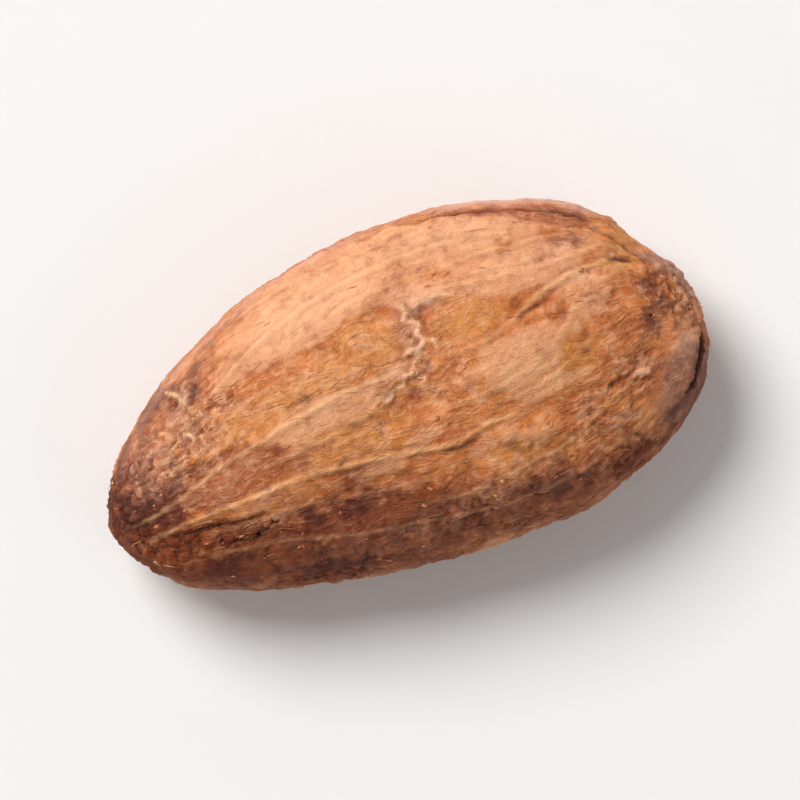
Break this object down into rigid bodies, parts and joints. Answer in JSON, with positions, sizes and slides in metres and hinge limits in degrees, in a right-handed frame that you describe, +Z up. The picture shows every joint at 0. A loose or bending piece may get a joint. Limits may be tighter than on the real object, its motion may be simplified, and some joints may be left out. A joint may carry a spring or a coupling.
{
  "type": "dried cacao bean",
  "caption": "Whole dried cacao bean, a flattened egg shape with a blunt broad end and a slim narrow end, lying on its flatter face.",
  "frame": {"origin": "on the ground under the middle of the bean's box", "axes": "+X along the bean from its narrow end to its broad end, +Y to the edge with the seam, +Z up through its thickness"},
  "size_m": [0.025, 0.0136, 0.0082],
  "materials": {
    "bean_skin": "dry, fibrous seed skin, orange-tan with darker purple-brown ends, semi-matt with a faint waxy sheen"
  },
  "bodies": {
    "root": {"cacao_bean": "bean_skin"}
  },
  "joints": []
}
